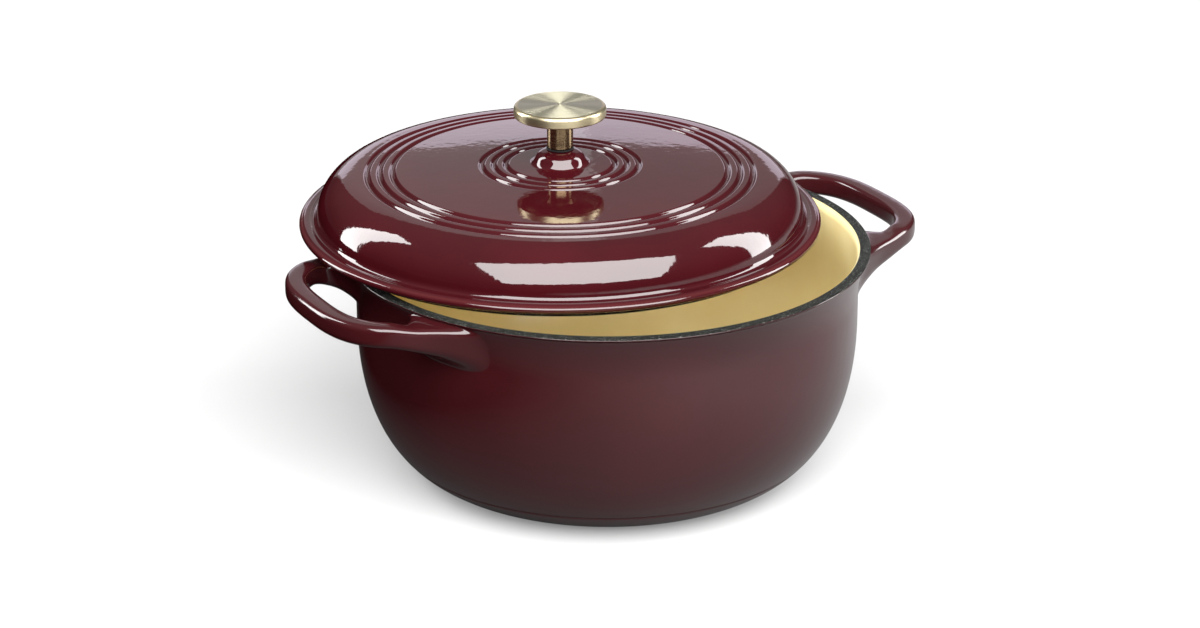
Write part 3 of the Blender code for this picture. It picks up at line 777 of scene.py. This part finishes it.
def turned_brass(name, base, roughness, anisotropy):
    """Antique brass with the fine circular lines of a lathe; the UV map's u runs round the piece."""
    finish = Finish(name, base, roughness, metallic=1.0, anisotropic=anisotropy, anisotropic_rotation=0.25)
    tangent = finish.node("ShaderNodeTangent", direction_type="UV_MAP", uv_map="UVMap")
    finish.link(tangent.outputs["Tangent"], finish.shader.inputs["Tangent"])
    uv = finish.node("ShaderNodeUVMap", uv_map="UVMap").outputs["UV"]
    mapping = finish.node("ShaderNodeMapping", vector_type="POINT")
    mapping.inputs["Scale"].default_value = (0.6, 9000.0, 1.0)
    finish.link(uv, mapping.inputs["Vector"])
    lines = finish.node("ShaderNodeTexNoise", scale=1.0, detail=2.0)
    finish.link(mapping.outputs["Vector"], lines.inputs["Vector"])
    shade = finish.remap(lines.outputs["Fac"], 0.3, 0.7, 0.0, 1.0)
    finish.color(finish.mix(shade, tuple(c * 0.88 for c in base), base))
    finish.rough(finish.remap(lines.outputs["Fac"], 0.3, 0.7, roughness * 0.9, roughness * 1.15))
    return finish.material


def gasket():
    """Dark washer."""
    finish = Finish("dark_washer", WASHER_BLACK, 0.75, specular_ior_level=0.2)
    finish.bump(finish.noise(900.0, 2.0), 1.0, 0.00005)
    return finish.material


def zinc():
    """Zinc plated steel with a faint crystal mottle."""
    finish = Finish("zinc_plate", ZINC, 0.33, metallic=1.0)
    mottle = finish.noise(600.0, 4.0)
    finish.color(finish.mix(mottle, tuple(c * 0.8 for c in ZINC), ZINC))
    finish.rough(finish.remap(mottle, 0.3, 0.7, 0.26, 0.42))
    return finish.material


# ---------------------------------------------------------------- stage


def seen_by_camera(tree, plain, shown, socket):
    """Sends one shader to the camera and a plainer one to every other ray, so that the surround stays quiet."""
    rays = tree.nodes.new("ShaderNodeLightPath")
    switch = tree.nodes.new("ShaderNodeMixShader")
    tree.links.new(rays.outputs["Is Camera Ray"], switch.inputs["Fac"])
    tree.links.new(plain, switch.inputs[1])
    tree.links.new(shown, switch.inputs[2])
    tree.links.new(switch.outputs["Shader"], socket)


def add_floor():
    """A wide pale floor that throws back less light than it shows.

    The light it throws back rises along the view's right, and far off it glows like the backdrop.
    """
    material = bpy.data.materials.new("pale_floor")
    material.use_nodes = True
    tree = material.node_tree
    shown = tree.nodes["Principled BSDF"]
    shown.inputs["Base Color"].default_value = (*[FLOOR_SHOWN] * 3, 1.0)
    shown.inputs["Roughness"].default_value = 0.9
    shown.inputs["Emission Color"].default_value = (1.0, 1.0, 1.0, 1.0)
    plain = tree.nodes.new("ShaderNodeBsdfDiffuse")
    place = tree.nodes.new("ShaderNodeTexCoord").outputs["Object"]
    side, reach = (tree.nodes.new("ShaderNodeVectorMath") for _ in range(2))
    side.operation, reach.operation = "DOT_PRODUCT", "LENGTH"
    side.inputs[1].default_value = right
    tree.links.new(place, side.inputs[0])
    tree.links.new(place, reach.inputs[0])
    glow = ranged(tree, reach.outputs["Value"], *FLOOR_FADE, FLOOR_GLOW, 1.0)
    tree.links.new(glow, shown.inputs["Emission Strength"])
    bounce = ranged(tree, side.outputs["Value"], *FLOOR_EDGES, *FLOOR_BOUNCE)
    tree.links.new(bounce, plain.inputs["Color"])
    surface = tree.nodes["Material Output"].inputs["Surface"]
    seen_by_camera(tree, plain.outputs["BSDF"], shown.outputs["BSDF"], surface)
    mesh = bpy.data.meshes.new("floor")
    corners = [(x * FLOOR_HALF, y * FLOOR_HALF, -FLOOR_DROP) for x, y in ((-1, -1), (1, -1), (1, 1), (-1, 1))]
    mesh.from_pydata(corners, [], [(0, 1, 2, 3)])
    mesh.materials.append(material)
    floor = bpy.data.objects.new("floor", mesh)
    bpy.context.scene.collection.objects.link(floor)


def look_at(obj, target):
    """Turns an object's -Z towards a point, its Y up."""
    obj.rotation_euler = (Vector(target) - obj.location).to_track_quat("-Z", "Y").to_euler()


def soft_light(name, turn, rise, distance, width, height, radiance, tint):
    """A rectangular soft light round the lid.

    Its turn is measured from straight behind the oven towards the camera's right and its rise from level, in
    degrees. The power that gives a radiance is pi times the radiance times the area.
    """
    turn, rise = math.radians(turn), math.radians(rise)
    level = away * math.cos(turn) + right * math.sin(turn)
    light = bpy.data.lights.new(name, "AREA")
    light.shape = "RECTANGLE"
    light.size, light.size_y = width, height
    light.energy = math.pi * radiance * width * height
    light.color = tint
    obj = bpy.data.objects.new(name, light)
    centre = Vector((*LID_CENTRE, LID_BASE))
    obj.location = centre + (level * math.cos(rise) + Vector((0.0, 0.0, math.sin(rise)))) * distance
    obj.visible_camera = False
    bpy.context.scene.collection.objects.link(obj)
    look_at(obj, centre)


def add_lights():
    """Lays out the soft lights listed at the top."""
    for name, *settings in SOFT_LIGHTS:
        soft_light(name, *settings)


def add_world():
    """A dark studio, lighter overhead, that shows pale to the camera."""
    world = bpy.data.worlds.new("studio")
    world.use_nodes = True
    tree = world.node_tree
    split = tree.nodes.new("ShaderNodeSeparateXYZ")
    tree.links.new(tree.nodes.new("ShaderNodeTexCoord").outputs["Generated"], split.inputs["Vector"])
    plain = tree.nodes["Background"]
    plain.inputs["Color"].default_value = (*ROOM_TINT, 1.0)
    strength = ranged(tree, split.outputs["Z"], 0.1, 1.0, ROOM_LEVEL, ROOM_ABOVE)
    tree.links.new(strength, plain.inputs["Strength"])
    shown = tree.nodes.new("ShaderNodeBackground")
    shown.inputs["Color"].default_value = (1.0, 1.0, 1.0, 1.0)
    surface = tree.nodes["World Output"].inputs["Surface"]
    seen_by_camera(tree, plain.outputs[0], shown.outputs[0], surface)
    bpy.context.scene.world = world


def add_camera():
    """The camera, aimed a little below and to the left of the rim's middle."""
    ahead = away * math.cos(VIEW_RISE) + Vector((0.0, 0.0, -math.sin(VIEW_RISE)))
    up = away * math.sin(VIEW_RISE) + Vector((0.0, 0.0, math.cos(VIEW_RISE)))
    rim = Vector((0.0, 0.0, POT_HEIGHT))
    data = bpy.data.cameras.new("camera")
    data.lens = VIEW_LENS
    data.sensor_width = 36.0  # millimetres, as the lens is
    camera = bpy.data.objects.new("camera", data)
    camera.location = rim - ahead * VIEW_DISTANCE
    bpy.context.scene.collection.objects.link(camera)
    look_at(camera, rim - up * AIM_DROP - right * AIM_LEFT)
    bpy.context.scene.camera = camera


def main():
    """Finishes, pieces, then the studio round them."""
    pot_enamel = burgundy("pot_enamel", *POT_COLOURS, POT_ROUGHNESS, POT_PEEL)
    lid_enamel = burgundy("lid_enamel", *LID_COLOURS, LID_ROUGHNESS, LID_PEEL)
    cream = cream_enamel()
    band = bare_rim()
    disc = turned_brass("turned_brass", DISC_BRASS, 0.46, 0.86)
    edge = turned_brass("bright_brass", EDGE_BRASS, 0.34, 0.4)
    # the stem's darker brass is painted shade under the knob's disc
    neck = turned_brass("shaded_brass", SHADED_NECK_BRASS, 0.25, 0.0)
    build_pot(pot_enamel, cream, band)
    build_lid(lid_enamel, cream, band)
    build_knob(disc, edge, neck, gasket())
    steel = zinc()
    build_fastening(steel)
    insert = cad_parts["knob_insert"].data  # its own mesh is plain enough to show as it is
    insert.materials.clear()
    insert.materials.append(steel)

    add_floor()
    add_world()
    add_lights()
    add_camera()
    bpy.context.scene.view_settings.view_transform = "Standard"


main()
